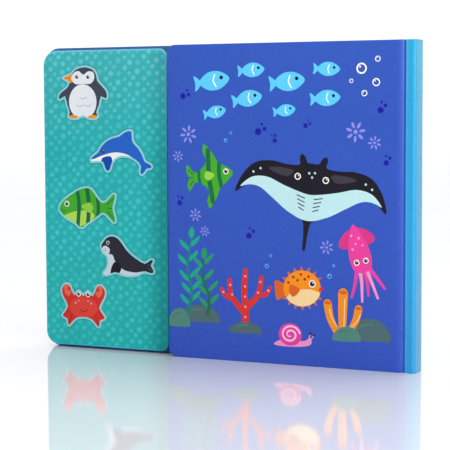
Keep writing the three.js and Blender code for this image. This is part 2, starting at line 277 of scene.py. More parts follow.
def board(name, outer, holes=(), d0=0.0, d1=1.0, r0=0.4, r1=0.3, art=(), base=WHITE, side=None,
          back=None, place=front, seg=4, material=None, hole_side=None, back_art=(), hole_r=1.0, rim=None, soft=False):
    """A board with print on its face d0, rounded edges, and a plain back at d1.
    art is a list of (outline, colour) or (outline, colour, clip outline index), later ones on top."""
    outer = ccw(list(outer))
    holes = [ccw(list(h)) for h in holes]
    sgn = 1.0 if d1 > d0 else -1.0
    rings = []
    for k in range(seg + 1):
        t = math.pi / 2 * k / seg
        rings.append((r0 * (1 - math.sin(t)), d0 + sgn * r0 * (1 - math.cos(t))))
    for k in range(seg + 1):
        t = math.pi / 2 * k / seg
        rings.append((r1 * (1 - math.cos(t)), d1 - sgn * r1 * (1 - math.sin(t))))
    loops = [(outer, 1.0)] + [(h, -1.0) for h in holes]
    ringpts = [[inset(l, s * r[0] * (1.0 if s > 0 else hole_r)) for r in rings] for l, s in loops]
    rim = seg // 2 if rim is None else rim

    def mesh2d(boundary, polys):
        verts, edges, faces = [], [], []
        for lp in list(boundary) + [q[0] for q in polys]:
            s = len(verts)
            verts += [Vector((x, z)) for x, z in lp]
            faces.append(list(range(s, s + len(lp))))
        v, e, f, ov, oe, of = delaunay_2d_cdt(verts, edges, faces, 1, 1e-5, True)
        nb = len(boundary)
        keep, ids = [], []
        for tri, src in zip(f, of):
            s = set(src)
            if 0 not in s or any(h in s for h in range(1, nb)):
                continue
            c = -1
            for i in sorted(s, reverse=True):
                if i < nb:
                    break
                q = polys[i - nb]
                clip = q[2] if len(q) > 2 else None
                if clip is None or (clip + nb) in s:
                    c = i - nb
                    break
            keep.append(tuple(tri))
            ids.append(c)
        return np.array([tuple(p) for p in v], float), keep, ids

    V, F, ids = mesh2d([r[0] for r in ringpts], list(art))
    verts = [tuple(place(x, z, d0)) for x, z in V]
    faces, cols, smooth, sharp = [], [], [], set()
    for tri, c in zip(F, ids):
        if area([tuple(V[i]) for i in tri]) < 0:
            tri = tri[::-1]
        faces.append(tuple(tri))
        cols.append(base if c < 0 else art[c][1])
        smooth.append(soft)
    # colour next to each boundary edge
    edge_col = {}
    for f, c in zip(faces, cols):
        for a, b in zip(f, f[1:] + f[:1]):
            edge_col[(a, b)] = c
    used = sorted({i for f in faces for i in f})
    back_loops = []
    for (lp, s), rp in zip(loops, ringpts):
        L = np.array(rp[0], float)
        n = len(L)
        A, B = L, np.roll(L, -1, 0)
        on = []
        for vi in used:
            p = V[vi]
            ab = B - A
            t = np.clip(((p - A) * ab).sum(1) / np.maximum((ab * ab).sum(1), 1e-12), 0, 1)
            dist = np.linalg.norm(A + ab * t[:, None] - p, axis=1)
            j = int(dist.argmin())
            if dist[j] < 2e-4:
                tt = float(t[j])
                if tt > 1 - 1e-6:
                    j, tt = (j + 1) % n, 0.0
                on.append((j + tt, vi, j, tt))
        on.sort()
        prev = [q[1] for q in on]
        params = [(q[2], q[3]) for q in on]
        first = prev
        for k in range(1, len(rings)):
            R = np.array(rp[k], float)
            cur = []
            for j, tt in params:
                q = R[j] * (1 - tt) + R[(j + 1) % n] * tt
                cur.append(len(verts))
                verts.append(tuple(place(q[0], q[1], rings[k][1])))
            m = len(cur)
            for i in range(m):
                a, b = prev[i], prev[(i + 1) % m]
                c, d = cur[(i + 1) % m], cur[i]
                quad = (b, a, d, c) if s > 0 else (a, b, c, d)
                faces.append(quad)
                key = (first[i], first[(i + 1) % m]) if s > 0 else (first[(i + 1) % m], first[i])
                col = edge_col.get(key, base)
                own = side if s > 0 else (hole_side if hole_side is not None else side)
                if own is not None and k > rim:
                    col = own
                cols.append(col)
                smooth.append(True)
                if k == 1 and not (soft and s > 0):
                    sharp.add(frozenset((a, b)))
                if k == len(rings) - 1:
                    sharp.add(frozenset((c, d)))
            prev = cur
        back_loops.append((prev, [tuple(np.array(rp[-1][j]) * (1 - tt) + np.array(rp[-1][(j + 1) % n]) * tt) for j, tt in params]))
    # back face
    V2, F2, ids2 = mesh2d([q[1] for q in back_loops], list(back_art))
    remap = {}
    index = {}
    for ring, pts in back_loops:
        for vi, p in zip(ring, pts):
            index[(round(p[0], 4), round(p[1], 4))] = vi
    for i, p in enumerate(V2):
        k = (round(float(p[0]), 4), round(float(p[1]), 4))
        if k in index:
            remap[i] = index[k]
    for tri, c in zip(F2, ids2):
        q = []
        for i in tri:
            if i not in remap:
                remap[i] = len(verts)
                verts.append(tuple(place(V2[i][0], V2[i][1], d1)))
            q.append(remap[i])
        if area([tuple(V2[i]) for i in tri]) > 0:
            q = q[::-1]
        faces.append(tuple(q))
        col = back if back is not None else (side if side is not None else base)
        cols.append(col if c < 0 else back_art[c][1])
        smooth.append(False)
    flip = sgn < 0 and place is front or (place is upright and sgn > 0) or (place is rear and sgn > 0)
    if flip:
        faces = [tuple(f[::-1]) for f in faces]
    return make(name, verts, faces, cols, smooth, sharp, material)


def make(name, verts, faces, cols, smooth, sharp=(), material=None):
    live = sorted({i for f in faces for i in f})
    new = {v: i for i, v in enumerate(live)}
    me = bpy.data.meshes.new(name)
    me.from_pydata([tuple(c * MM for c in verts[i]) for i in live], [], [tuple(new[i] for i in f) for f in faces])
    me.polygons.foreach_set("use_smooth", smooth)
    layer = me.color_attributes.new("print", "FLOAT_COLOR", "CORNER")
    data = np.ones((len(me.loops), 4), np.float32)
    k = 0
    for f, c in zip(faces, cols):
        data[k:k + len(f), :3] = c
        k += len(f)
    layer.data.foreach_set("color", data.ravel())
    if sharp:
        att = me.attributes.new("sharp_edge", "BOOLEAN", "EDGE")
        want = {frozenset(new[i] for i in e) for e in sharp if all(i in new for i in e)}
        att.data.foreach_set("value", [frozenset(e.vertices) in want for e in me.edges])
    me.update()
    ob = bpy.data.objects.new(name, me)
    bpy.context.scene.collection.objects.link(ob)
    if material:
        me.materials.append(material)
    return ob


def press(ob, level, drop):
    """Sink the skin in front of the given level (millimetres in Y) by drop(x, z)."""
    for v in ob.data.vertices:
        x, y, z = (c / MM for c in v.co)
        if y < level:
            v.co.y = (y + drop(x, z)) * MM
    ob.data.update()


def to_edge(loop):
    """Distance from a point to a closed outline."""
    A = np.array(loop, float)
    ab = np.roll(A, -1, 0) - A
    ll = np.maximum((ab * ab).sum(1), 1e-12)

    def f(x, z):
        q = np.array([x, z]) - A
        t = np.clip((q * ab).sum(1) / ll, 0, 1)
        return float(np.linalg.norm(q - ab * t[:, None], axis=1).min())
    return f


# ---- materials -------------------------------------------------------------------
class Nodes:
    def __init__(self, name):
        self.m = bpy.data.materials.new(name)
        self.m.use_nodes = True
        self.t = self.m.node_tree
        self.bsdf = self.t.nodes["Principled BSDF"]

    def new(self, kind, **kw):
        n = self.t.nodes.new(kind)
        for k, v in kw.items():
            setattr(n, k, v)
        return n

    def link(self, a, b):
        self.t.links.new(a, b)

    def coord(self):
        return self.new("ShaderNodeTexCoord").outputs["Object"]

    def noise(self, scale, detail=3.0, rough=0.5, vec=None):
        n = self.new("ShaderNodeTexNoise")
        n.inputs["Scale"].default_value = scale
        n.inputs["Detail"].default_value = detail
        n.inputs["Roughness"].default_value = rough
        self.link(vec if vec is not None else self.coord(), n.inputs["Vector"])
        return n.outputs["Fac"]

    def maps(self, value, lo, hi, a, b):
        n = self.new("ShaderNodeMapRange")
        n.inputs["From Min"].default_value = lo
        n.inputs["From Max"].default_value = hi
        n.inputs["To Min"].default_value = a
        n.inputs["To Max"].default_value = b
        self.link(value, n.inputs["Value"])
        return n.outputs["Result"]

    def mix(self, fac, a, b, mode="MIX"):
        n = self.new("ShaderNodeMix", data_type="RGBA", blend_type=mode)
        for v, s in ((fac, n.inputs[0]), (a, n.inputs[6]), (b, n.inputs[7])):
            if isinstance(v, (int, float)):
                s.default_value = v
            elif isinstance(v, tuple):
                s.default_value = (*v[:3], 1.0)
            else:
                self.link(v, s)
        return n.outputs[2]

    def grey(self, value):
        n = self.new("ShaderNodeCombineColor")
        for i in range(3):
            self.link(value, n.inputs[i])
        return n.outputs[0]

    def bump(self, height, strength, distance, normal=None):
        n = self.new("ShaderNodeBump")
        n.inputs["Strength"].default_value = strength
        n.inputs["Distance"].default_value = distance
        self.link(height, n.inputs["Height"])
        if normal is not None:
            self.link(normal, n.inputs["Normal"])
        return n.outputs["Normal"]

    def finish(self, color, rough, normal=None, **fixed):
        if isinstance(color, tuple):
            self.bsdf.inputs["Base Color"].default_value = (*color, 1)
        else:
            self.link(color, self.bsdf.inputs["Base Color"])
        if isinstance(rough, (int, float)):
            self.bsdf.inputs["Roughness"].default_value = rough
        else:
            self.link(rough, self.bsdf.inputs["Roughness"])
        if normal is not None:
            self.link(normal, self.bsdf.inputs["Normal"])
        for k, v in fixed.items():
            self.bsdf.inputs[k].default_value = v
        return self.m


def printed(name, rough=(0.3, 0.42), ior=1.45, spec=0.4, coat=0.0, mottle=0.05, grain=0.35, painted_top_light=None, painted_shadow=None):
    n = Nodes(name)
    vec = n.coord()
    att = n.new("ShaderNodeAttribute", attribute_name="print")
    col = att.outputs["Color"]
    if painted_top_light:
        # painted light: the print is made lighter towards the head by the stops given, and can be whitened there as a
        # painted sheen
        sep = n.new("ShaderNodeSeparateXYZ")
        n.link(vec, sep.inputs[0])
        tone = painted_top_light[0][1]
        for (z0, c0), (z1, c1) in zip(painted_top_light, painted_top_light[1:]):
            tone = n.mix(n.maps(sep.outputs[2], z0, z1, 0.0, 1.0), tone, c1)
        if painted_shadow:
            # painted shadow: darker towards the inner edge, most towards the foot, where the front cover's edge shades
            # it
            side = n.maps(sep.outputs[0], painted_shadow[0], painted_shadow[1], 0.0, 1.0)
            foot = n.maps(sep.outputs[2], 0.188, 0.125, 0.0, 1.0)
            both = n.new("ShaderNodeMath", operation="MULTIPLY")
            n.link(side, both.inputs[0])
            n.link(foot, both.inputs[1])
            shade = n.mix(n.maps(sep.outputs[2], 0.0, 0.125, 0.0, 1.0), painted_shadow[2], painted_shadow[3])
            tone = n.mix(both.outputs[0], tone, n.mix(1.0, tone, shade, "MULTIPLY"))
        col = n.mix(1.0, col, tone, "MULTIPLY")
    big = n.noise(28, 2.0, 0.5, vec)
    fine = n.noise(1900, 3.0, 0.6, vec)
    k = n.maps(big, 0.25, 0.75, 1.0 - mottle, 1.0 + mottle * 0.6)
    col = n.mix(1.0, col, n.grey(k), "MULTIPLY")
    k2 = n.maps(fine, 0.3, 0.7, 0.975, 1.02)
    col = n.mix(1.0, col, n.grey(k2), "MULTIPLY")
    smear = n.noise(70, 4.0, 0.65, vec)
    r = n.maps(smear, 0.3, 0.7, rough[0], rough[1])
    wave = n.noise(120, 2.0, 0.5, vec)
    nrm = n.bump(wave, 0.04, 0.00004)
    nrm = n.bump(fine, grain, 0.00002, nrm)
    fixed = {"IOR": ior, "Specular IOR Level": spec}
    if coat:
        fixed["Coat Weight"] = coat
        fixed["Coat Roughness"] = 0.12
    return n.finish(col, r, nrm, **fixed)


def plastic(name, color, rough=(0.4, 0.55), grain=600, depth=0.00003, strength=0.5):
    n = Nodes(name)
    vec = n.coord()
    big = n.noise(40, 2.0, 0.5, vec)
    fine = n.noise(grain, 4.0, 0.6, vec)
    col = n.mix(n.maps(big, 0.3, 0.7, 0.0, 1.0), tuple(c * 0.9 for c in color), color)
    return n.finish(col, n.maps(fine, 0.3, 0.7, rough[0], rough[1]), n.bump(fine, strength, depth))


def metal(name, color, rough=(0.22, 0.4), stretch=(1, 1, 1), scale=900):
    n = Nodes(name)
    mp = n.new("ShaderNodeMapping")
    mp.inputs["Scale"].default_value = stretch
    n.link(n.coord(), mp.inputs["Vector"])
    fine = n.noise(scale, 4.0, 0.6, mp.outputs[0])
    big = n.noise(60, 2.0, 0.5, n.coord())
    col = n.mix(n.maps(big, 0.3, 0.7, 0.0, 1.0), tuple(c * 0.85 for c in color), color)
    return n.finish(col, n.maps(fine, 0.3, 0.7, rough[0], rough[1]), n.bump(fine, 0.3, 0.00001), Metallic=1.0)


# painted light: the cover's and the panel's print are lightened towards the top, and the panel's strong red boost at
# its top edge is a painted sheen
cover_print = printed("laminated_cover_print", rough=(0.22, 0.31), spec=0.4, mottle=0.04, painted_top_light=((0.0, (0.98, 0.98, 1.02)), (0.215, (1.3, 1.2, 1.02))))
# the panel's print carries a painted shadow of the front cover along its inner edge, strongest towards the foot
panel_print = printed("panel_print", rough=(0.34, 0.46), spec=0.3, mottle=0.05, painted_top_light=((0.0, (1.15, 1.16, 1.18)), (0.14, (1.5, 1.1, 1.16)), (0.213, (4.0, 1.18, 1.28))),
                      painted_shadow=(-0.060, -0.047, (0.3, 0.74, 0.74), (0.55, 0.84, 0.8)))
button_print = printed("button_print", rough=(0.32, 0.44), spec=0.3, mottle=0.05)
page_print = printed("page_board", rough=(0.5, 0.62), spec=0.25, mottle=0.04, grain=0.6)

# ---- small motifs, each about its own centre ---------------------------------------


def eye(x, z, r, white=True):
    out = []
    if white:
        out.append((ell(x, z, r * 1.45, n=20), WHITE))
    out += [(ell(x, z, r, n=18), BLACK), (ell(x + r * 0.32, z + r * 0.38, r * 0.3, n=10), WHITE)]
    return out


def placed(art, dx, dz, s=1.0, rot=0.0, flip=False, start=0):
    out = []
    for q in art:
        p = (move(q[0], dx, dz, s, rot, flip), q[1])
        if len(q) > 2:
            p = p + (q[2] + start,)
        out.append(p)
    return out


def small_fish(body, tail):
    return [(curve([(-5.2, 0), (-8.6, 3.4), (-8.2, 0), (-8.6, -3.4)], 4), tail),
            (curve([(8.4, 0), (4.2, 3.6), (-1.5, 3.9), (-6.2, 0.6), (-6.2, -0.6), (-1.5, -3.9), (4.2, -3.6)], 5), body),
            (stroke([(1.6, 2.6), (0.6, 0), (1.6, -2.6)], 0.55, 4), WHITE),
            (ell(4.6, 0.9, 0.85, n=14), BLACK)]


def trio(c=NAVY):
    """Three drops of ink."""
    return [(ell(0, 0, 2.3, n=20), c), (ell(4.6, 1.9, 1.4, n=16), c), (ell(2.6, 5.0, 1.0, n=14), c)]


def bubble(x, z, r, c=LIGHT, hl=WHITE):
    return [(ell(x, z, r, n=24), c), (ell(x, z, r * 0.72, n=22), BLUE), (ell(x - r * 0.28, z + r * 0.3, r * 0.18, n=10), hl)]


def rosette(r=4.6, color=LILAC, petals=7):
    """A ring of petals round a dot, like floating plankton."""
    out = [(ell(0, 0, r * 0.3, n=18), color)]
    for i in range(petals):
        a = 360.0 * i / petals
        q = ell(r * 0.98, 0, r * 0.46, r * 0.2, n=16)
        out.append((move(q, 0, 0, 1, a), color))
    return out


def kelp(height, lean, color=TEAL, vein=DTEAL, leaves=4):
    out = []
    stem = [(0, 0), (lean * 0.3 + 2.2, height * 0.3), (lean * 0.6 - 1.8, height * 0.62), (lean, height)]
    line = curve(stem, 8, closed=False)
    for i in range(leaves):
        q = line[int((i + 0.9) / (leaves + 0.4) * (len(line) - 1))]
        for s in (-1, 1):
            leaf = [(0, 0), (3.6 * s, 1.4), (8.2 * s, 5.8), (9.0 * s, 9.6), (5.4 * s, 7.4), (1.6 * s, 4.0)]
            out.append((move(curve(leaf, 4), q[0], q[1] + (1.2 if s > 0 else -1.8), 0.92), color))
    out.append((stroke(stem, [2.6, 2.2, 1.8, 1.2], 8), vein))
    tip = line[-1]
    out.append((move(curve([(0, -1), (2.6, 3), (0.6, 8.2), (-2.4, 3)], 5), tip[0], tip[1]), color))
    return out


def coral(color, dot):
    """A branching coral."""
    arms = [([(0, 0), (0.4, 12), (-0.6, 24), (0.4, 38)], [5.6, 4.8, 4.2, 3.6]),
            ([(0, 9), (-6, 15), (-10.4, 21), (-11.4, 31)], [4.4, 4.0, 3.6, 3.2]),
            ([(0.4, 13), (6.6, 18), (10.6, 25), (12.0, 34)], [4.4, 4.0, 3.6, 3.2]),
            ([(-9, 18.6), (-14.6, 20.4), (-17.4, 25.0)], [3.2, 3.0, 2.8]),
            ([(9.4, 22), (15.0, 22.6), (18.4, 27.2)], [3.2, 3.0, 2.8])]
    out = [(stroke(a, w, 6), color) for a, w in arms]
    for x, z in ((0.2, 34.4), (0, 27.5), (0, 20.5), (-11, 28), (-9.6, 21.6), (11.4, 31), (9.6, 23.6), (-16.2, 23.0), (17.2, 25.4), (0.2, 13.6), (0.1, 6.6)):
        out.append((ell(x, z, 0.85, n=12), dot))
    return out


def sponge(color, dark, mouth):
    out = []
    for x, h, w, lean in ((-8, 21, 6.4, -3.5), (8.6, 18, 6.0, 4.0), (0, 29, 7.6, 0.6)):
        out.append((stroke([(x * 0.55, 0), (x + lean * 0.4, h * 0.5), (x + lean, h)], [w * 0.72, w * 0.9, w], 6), color))
        out.append((ell(x + lean, h + w * 0.08, w * 0.42, w * 0.2, n=22), dark))
        out.append((stroke([(x * 0.62 + 1.2, 4), (x + lean * 0.4 + 1.4, h * 0.5), (x + lean + 1.4, h - 4)], 0.7, 5), mouth))
    return out


def ray():
    """A manta ray seen from the front and above: wings, head lobes, gill marks and tail."""
    half = [(0, 13.2), (4.2, 13.6), (6.4, 17.4), (9.2, 18.8), (10.2, 15.8), (9.6, 11.8), (18, 10.6), (31, 11.6),
            (43, 8.4), (51.5, -1.8), (55, -13.0), (47, -7.4), (38, -7.2), (27, -13.4), (16, -20.4), (7.5, -24.2), (3.2, -26.4)]
    pts = half + [(1.6, -34), (0.6, -46), (-0.6, -46), (-1.6, -34)] + [(-x, z) for x, z in half[:0:-1]]
    out = [(curve(pts, 6), CHAR)]
    belly = [(0, -7.8), (9, -6.4), (20, -3.6), (33, 0.2), (44, -1.6), (51.6, -9.0), (47, -7.4), (38, -7.2), (27, -13.4), (16, -20.4), (7.5, -24.2), (0, -25.6)]
    both = belly + [(-x, z) for x, z in belly[-2:0:-1]]
    out.append((curve(both, 5), BELLY, 0))
    for s in (-1, 1):
        for i in range(4):
            z = -10.6 - i * 2.7
            out.append((stroke([(s * 3.4, z), (s * (9.2 - i * 0.7), z + 1.5)], 0.75, 1), CHAR2, 0))
        out.append((curve([(s * 13.5, 6.6), (s * 22, 8.0), (s * 32, 6.4), (s * 26, 3.6), (s * 17, 2.8)], 6), CHAR2))
        out += [(ell(s * 10.2, 3.4, 2.35, n=22), WHITE), (ell(s * 10.2, 3.4, 1.6, n=20), BLACK), (ell(s * 10.2 + 0.5, 4.0, 0.45, n=10), WHITE)]
    for x, z in ((-2.2, 6.6), (1.9, 7.2), (0.2, 4.0), (-38, 5.2), (38.6, 4.6), (-43, 2.2), (43.4, 1.8)):
        out.append((ell(x, z, 0.8, n=12), BELLY))
    return out


def angelfish():
    body = [(15.6, 1.0), (10.8, 5.4), (5.2, 9.0), (1.0, 16.2), (-4.4, 22.0), (-5.6, 17.0), (-3.8, 10.2), (-9.0, 4.6),
            (-13.0, 3.4), (-18.4, 9.0), (-19.4, 4.0), (-17.8, 0), (-19.4, -4.0), (-18.4, -9.0), (-13.0, -3.4), (-9.0, -4.6),
            (-3.8, -10.2), (-5.6, -17.0), (-4.4, -22.0), (1.0, -16.2), (5.2, -9.0), (10.8, -4.6)]
    out = [(curve(body, 6), GREEN),
           (stroke([(6.4, 10.5), (5.0, 0), (6.4, -10.5)], 3.0, 6), DGREEN, 0),
           (stroke([(-1.6, 17.5), (-2.6, 0), (-1.6, -17.5)], 3.4, 6), DGREEN, 0),
           (stroke([(-9.6, 6.5), (-10.2, 0), (-9.6, -6.5)], 2.2, 6), DGREEN, 0),
           (curve([(1.6, 0.4), (-4.4, 3.4), (-6.0, -0.6), (-3.0, -3.0)], 5), LGREEN)]
    for z in (6.4, 0, -6.4):
        out.append((stroke([(-14.6, z * 0.35), (-17.6, z * 0.85)], 0.7, 1), DGREEN, 0))
    out += [(ell(10.4, 2.0, 2.0, n=20), WHITE), (ell(10.4, 2.0, 1.35, n=18), BLACK), (ell(10.9, 2.5, 0.4, n=10), WHITE)]
    return out


def squid():
    mantle = [(0, 27), (4.2, 20), (6.8, 11), (7.0, 3), (4.8, -2.6), (-4.8, -2.6), (-7.0, 3), (-6.8, 11), (-4.2, 20)]
    fins = [(0, 25), (8.6, 21.5), (12.2, 15.4), (6.0, 12.4), (-6.0, 12.4), (-12.2, 15.4), (-8.6, 21.5)]
    out = []
    for x0, x1, x2, z in ((-4.2, -7.2, -11.6, -17), (-2.2, -2.8, -5.4, -21), (0, 0.8, -0.4, -18), (2.2, 3.4, 5.2, -21), (4.2, 7.8, 11.0, -16)):
        out.append((stroke([(x0, -1.5), (x1, -9), (x2, z)], [2.6, 2.2, 1.5], 6), LPINK if x0 in (-2.2, 2.2) else PINK))
    out += [(curve(fins, 6), lin(208, 48, 130)), (curve(mantle, 6), PINK)]
    for x, z, r in ((-2.6, 20.5, 0.8), (1.8, 18.0, 0.95), (-1.0, 15.0, 0.7), (3.2, 13.2, 0.7), (-3.8, 12.0, 0.85)):
        out.append((ell(x, z, r, n=12), LPINK))
    for s in (-1, 1):
        out += [(ell(s * 3.1, 3.4, 1.9, n=20), WHITE), (ell(s * 3.1, 3.4, 1.25, n=18), BLACK), (ell(s * 3.1 + 0.4, 3.9, 0.38, n=10), WHITE)]
    return out


def puffer():
    out = []
    for k in range(18):
        a = 2 * math.pi * k / 18 + 0.1
        if abs(math.sin(a)) < 0.26 and math.cos(a) > 0:
            continue
        c, s = math.cos(a), math.sin(a)
        out.append((ccw([(12.2 * c - 1.6 * s, 11.0 * s + 1.6 * c), (16.4 * c, 15.0 * s), (12.2 * c + 1.6 * s, 11.0 * s - 1.6 * c)]), DORANGE))
    n = len(out)
    out.append((curve([(-11, 2.0), (-18.6, 6.6), (-19.6, 0), (-18.6, -6.6), (-11, -2.0)], 5), DORANGE))
    out.append((ell(0, 0, 13.4, 12.0, n=44), ORANGE))
    body = len(out) - 1
    out.append((ell(1.0, -7.8, 13.4, 7.2, n=36), CREAM, body))
    out.append((curve([(-1.6, -0.6), (-8.2, 3.0), (-9.4, -1.4), (-7.0, -5.2)], 6), DORANGE))
    for x, z in ((-5.4, 8.0), (0.2, 9.4), (5.4, 7.6), (-9.4, 4.6), (2.6, 6.0), (-2.6, 5.6)):
        out.append((ell(x, z, 0.95, n=12), DRED))
    out += [(ell(7.6, 2.6, 2.5, n=22), WHITE), (ell(7.6, 2.6, 1.7, n=20), BLACK), (ell(8.2, 3.2, 0.5, n=10), WHITE)]
    out.append((curve([(12.0, -1.0), (14.6, -0.2), (14.8, -2.0), (12.2, -2.6)], 4), RED))
    return out


def snail():
    out = [(curve([(-14.5, -5.6), (14.5, -5.6), (18.6, -3.0), (17.4, 1.4), (13.2, -1.2), (6, -1.6), (-10, -2.0)], 5), LPINK),
           (ell(0, 3.2, 10.2, 9.2, n=40), PINK)]
    spiral = [(math.cos(t) * (8.6 - t * 0.62), 3.2 + math.sin(t) * (7.7 - t * 0.56)) for t in np.linspace(0.2, 11.2, 26)]
    out.append((stroke(spiral, [1.6] * 20 + [1.1] * 6, 3), lin(250, 196, 226)))
    out += [(stroke([(16.0, 0.2), (17.6, 4.6)], 0.8, 1), LPINK), (stroke([(18.0, -0.4), (20.6, 3.4)], 0.8, 1), LPINK),
            (ell(17.7, 5.0, 0.95, n=14), BLACK), (ell(20.9, 3.8, 0.95, n=14), BLACK)]
    return out


def stone(w, h, c=STONE):
    return [(curve([(-w / 2, 0), (-w * 0.46, h * 0.42), (-w * 0.2, h * 0.92), (w * 0.16, h), (w * 0.42, h * 0.6), (w / 2, 0.2), (w * 0.3, -0.6), (-w * 0.3, -0.6)], 5), c),
            (stroke([(-w * 0.26, h * 0.5), (-w * 0.08, h * 0.72), (w * 0.1, h * 0.74)], 0.7, 4), STONE2 if c is STONE else STONE)]


# ---- front cover picture, drawn from the cover's lower left corner -----------------
SHOULDER = (127.6, 3.4, 0.55)      # where the board starts to round over towards the groove, over what width, how far


def shoulder(x):
    return SHOULDER[2] * (max(0.0, x - SHOULDER[0]) / SHOULDER[1]) ** 2


def front_picture():
    art = [(round_rect(x, -2, 140, H + 2, [0.05] * 4), BLUE) for x in (127.6, 128.2, 128.8, 129.3, 129.7)]

    def put(motif, u, v, s=1.0, rot=0.0, flip=False):
        art.extend(placed(motif, FRONT_X0 + u, v, s, rot, flip, start=len(art)))

    # pale shoal
    for u, v, s, r, f in ((34, 190, 1.55, 8, False), (63, 197, 1.15, 4, False), (60, 178, 1.3, 10, False), (89, 189, 1.5, 6, False),
                          (117, 197, 1.1, -2, False), (116, 178, 1.25, 4, False), (87, 170, 0.95, 8, False), (36, 169, 1.0, 12, False)):
        put(small_fish(LIGHT, LIGHT), u, v, s, r, f)
    for x, z, r in ((141, 197, 3.6), (151, 188, 2.6), (143, 181, 2.0), (152, 203, 1.9), (134, 189, 1.4)):
        art.extend(bubble(FRONT_X0 + x, z, r, WHITE, WHITE))
    for u, v, r in ((16, 154, 4.4), (137, 156, 4.8), (150, 149, 3.2), (21, 99, 3.2), (28, 88, 2.6), (117, 80, 3.4), (8, 139, 2.8)):
        put(rosette(r), u, v, 1, 17 * u % 40)
    put(angelfish(), 34, 126, 1.0, 6)
    put(ray(), 106, 122, 0.98, -7)
    for u, v, s, r in ((68, 156, 1.0, 0), (80, 150, 0.7, 60), (154, 170, 0.9, 20), (12, 180, 0.9, -10), (9, 107, 0.8, 40), (158, 136, 0.8, 30), (61, 86, 0.9, 20), (102, 160, 0.7, 0)):
        put(trio(), u, v, s, r)
    put(stone(33, 11), 23, 26)
    put(kelp(58, 3, TEAL, DTEAL, 5), 15, 30, 0.92)
    put(kelp(43, -3, lin(28, 150, 96), DGREEN, 4), 30, 31, 0.9)
    put(stone(17, 12, STONE2), 8, 22)
    put(coral(RED, LPINK), 58, 24, 1.0)
    put(stone(25, 7), 58, 20)
    put(squid(), 142, 68, 1.05, 14)
    put(puffer(), 99.5, 52, 1.0, 6)
    put(stone(31, 14), 146, 20)
    put(sponge(ORANGE, DORANGE, CREAM), 128, 24, 0.9)
    put(stone(20, 9, STONE2), 131, 19)
    put(snail(), 91, 18, 0.82)
    for x, z, r in ((74, 66, 1.5), (77, 73, 1.0), (119, 61, 1.6), (122, 68, 1.0), (44, 150, 1.3), (48, 155, 0.9)):
        art.extend(bubble(FRONT_X0 + x, z, r, LIGHT, WHITE))
    return art


outer = round_rect(FRONT_X0, 0, 130.65, H, [5.5, 0.05, 0.05, 5.5], 12)
front_board = board("front_cover_board", outer, (), YF, YF + BOARD, 0.55, 0.45, front_picture(), BLUE,
                    side=None, back=lin(52, 80, 180), place=front, seg=4, material=cover_print, soft=True)
press(front_board, YF + 1.0, lambda x, z: shoulder(min(x, 130.3)))
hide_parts("front_cover")
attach(front_board, "front_cover")


# ---- pasted lining of the front cover, and the leaves -------------------------------
def pale_picture(w0, w1, z0, z1, tint):
    art = []
    for i, (z, a) in enumerate(((38, 3.0), (30, 2.4), (22, 3.4))):
        pts = [(w0 - 6, z0 - 8)] + [(w0 - 6 + (w1 - w0 + 12) * k / 24, z + a * math.sin(k * 0.9 + i * 1.7)) for k in range(25)] + [(w1 + 6, z0 - 8)]
        art.append((ccw(pts), tuple(t * (0.92 - 0.12 * i) for t in tint)))
    rng = np.random.default_rng(5)
    for _ in range(26):
        x, z, r = rng.uniform(w0 + 12, w1 - 12), rng.uniform(z0 + 60, z1 - 14), rng.uniform(1.2, 4.2)
        art.append((ell(x, z, r, n=20), tuple(min(1, t * 1.25) for t in tint)))
    return art


lining = board("front_lining", round_rect(-(XJ - 1), 2.5, -(FRONT_X0 + 2.5), H - 2.5, [0.5, 4, 4, 0.5], 6), (), -4.9, -5.15, 0.05, 0.05,
               [], lin(150, 208, 222), place=rear, seg=2, material=page_print)
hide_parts("front_endpaper")
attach(lining, "front_cover")


def leaves():
    """Ten board leaves, bound at the spine, with a fine gap between them towards the fore-edge."""
    out = []
    n, y0, y1 = 10, -4.7, 4.95
    pitch = (y1 - y0) / n
    rng = np.random.default_rng(11)
    for i in range(n):
        a = y0 + i * pitch + 0.035
        b = a + pitch - 0.07
        dx, dz = rng.uniform(-0.25, 0.2), rng.uniform(-0.12, 0.12)
        face = lin(158, 214, 226) if i == 0 else lin(226, 234, 232)
        art = pale_picture(-33.5, 137, 2.6, H - 2.6, face) if i == 0 else []
        ob = board("leaf_%d" % i, round_rect(-33.2 + dx, 2.8 + dz, 137.2, H - 2.8 + dz, [5, 0.4, 0.4, 5], 7), (), a, b, 0.12, 0.12,
                   art, face, side=lin(238, 234, 222), back=lin(226, 234, 232), place=front, seg=2, material=page_print)
        out.append(ob)
    return out


def join(obs, name):
    """Objects with one material joined into one mesh object."""
    verts, faces, cols, smooth, sharp = [], [], [], [], []
    for ob in obs:
        me = ob.data
        s = len(verts)
        verts += [tuple(v.co) for v in me.vertices]
        col = np.zeros(len(me.loops) * 4, np.float32)
        me.color_attributes["print"].data.foreach_get("color", col)
        col = col.reshape(-1, 4)
        for p in me.polygons:
            faces.append(tuple(s + i for i in p.vertices))
            cols.append(tuple(float(c) for c in col[p.loop_start][:3]))
            smooth.append(p.use_smooth)
        if "sharp_edge" in me.attributes:
            for e, a in zip(me.edges, me.attributes["sharp_edge"].data):
                if a.value:
                    sharp.append(frozenset(s + i for i in e.vertices))
    mat = obs[0].data.materials[0]
    for ob in obs:
        bpy.data.objects.remove(ob)
    return make(name, [tuple(c * 1000 for c in v) for v in verts], faces, cols, smooth, set(sharp), mat)


block = join(leaves(), "leaves")
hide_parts("page_block")
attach(block, "case")

